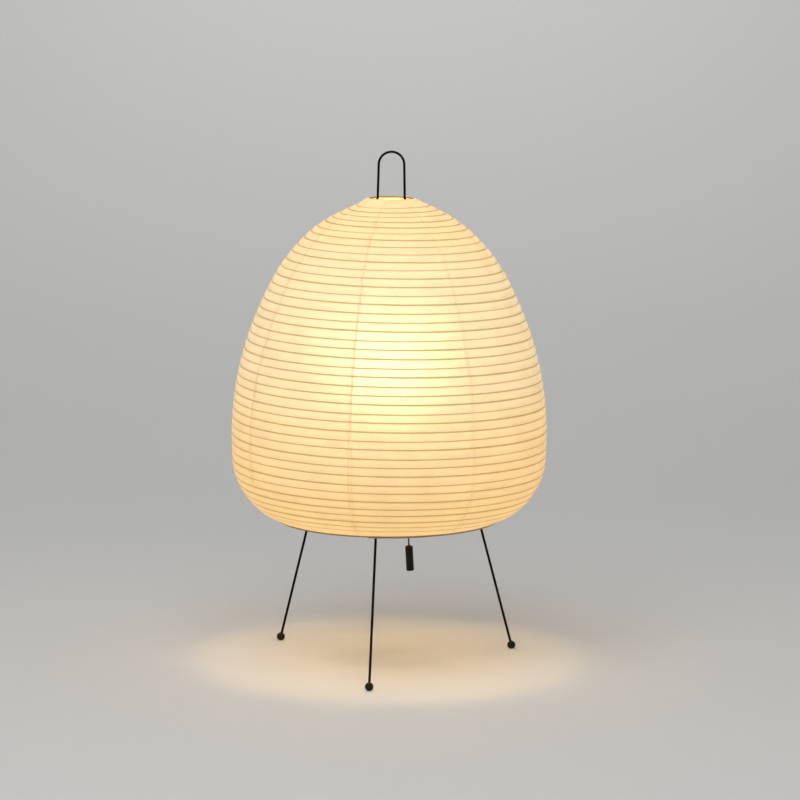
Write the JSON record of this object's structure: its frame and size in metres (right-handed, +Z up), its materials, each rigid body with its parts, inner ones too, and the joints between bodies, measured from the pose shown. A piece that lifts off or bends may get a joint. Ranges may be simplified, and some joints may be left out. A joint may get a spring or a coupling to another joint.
{
  "type": "paper bedside lamp",
  "caption": "Egg-shaped ribbed paper lamp on splayed wire legs with ball feet, a wire carrying handle, a pull-cord switch and a screw-in bulb inside.",
  "frame": {"origin": "on the floor, under the middle of the shade", "axes": "+X to the right seen from the front, +Y to the back, +Z up"},
  "size_m": [0.26, 0.26, 0.425],
  "materials": {
    "paper": "matte fibrous paper, lit from inside",
    "bamboo": "split bamboo, matte",
    "hoop": "dark bent strip, satin",
    "black_wire": "satin black paint",
    "ball": "satin brown-black paint",
    "black_paint": "satin black paint",
    "plated_steel": "zinc plated",
    "dark_plastic": "moulded, matte",
    "pull_plastic": "polished black",
    "cord": "braided, dark",
    "ceramic": "unglazed white",
    "brass": "plain",
    "black_glass": "black sealing glass",
    "aluminium": "rolled",
    "opal_glass": "opal white, lit"
  },
  "bodies": {
    "frame": {"paper_gore_1": "paper", "paper_gore_2": "paper", "paper_gore_3": "paper", "paper_gore_4": "paper", "paper_gore_5": "paper", "paper_gore_6": "paper", "paper_gore_7": "paper", "paper_gore_8": "paper", "spiral_rib": "bamboo", "top_hoop": "hoop", "bottom_hoop": "hoop", "leg_1": "black_wire", "leg_2": "black_wire", "leg_3": "black_wire", "stretcher_handle": "black_wire", "ball_feet": "ball", "hub": "black_paint", "leg_screws": "plated_steel", "nipple": "plated_steel", "lock_nut": "plated_steel", "holder_screws": "plated_steel", "inlet_bush": "dark_plastic", "switch_housing": "dark_plastic", "pull_bush": "dark_plastic", "holder_shell": "dark_plastic", "holder_insulator": "ceramic", "screw_shell": "brass", "centre_contact": "brass"},
    "switch": {"switch_traveller": "dark_plastic", "pull_cord_upper": "cord"},
    "pull": {"pull_cord": "cord", "pull_handle": "pull_plastic", "pull_knot": "cord"},
    "bulb_tip": {"bulb_contact": "brass", "bulb_insulator": "black_glass"},
    "bulb": {"bulb_cap": "aluminium", "bulb_glass": "opal_glass"}
  },
  "joints": [
    {"name": "pull_travel", "type": "slide", "parent": "frame", "child": "switch", "axis": [0, 0, -1], "range_m": [0, 0.012], "stiffness_N_per_m": 400},
    {"name": "pull_swing", "type": "hinge", "parent": "switch", "child": "pull", "pos_m": [0.01527, -0.00954, 0.1306], "axis": [0, 1, 0], "range_deg": [-40, 40]},
    {"name": "bulb_rise", "type": "slide", "parent": "frame", "child": "bulb_tip", "axis": [0, 0, 1], "range_m": [0, 0.0145]},
    {"name": "bulb_turn", "type": "hinge", "parent": "bulb_tip", "child": "bulb", "pos_m": [0, 0, 0.1775], "axis": [0, 0, 1], "range_deg": [0, 1440]}
  ],
  "couplings": [
    {"joint": "bulb_turn", "follows": "bulb_rise", "rad_per_m": 1730.9}
  ]
}
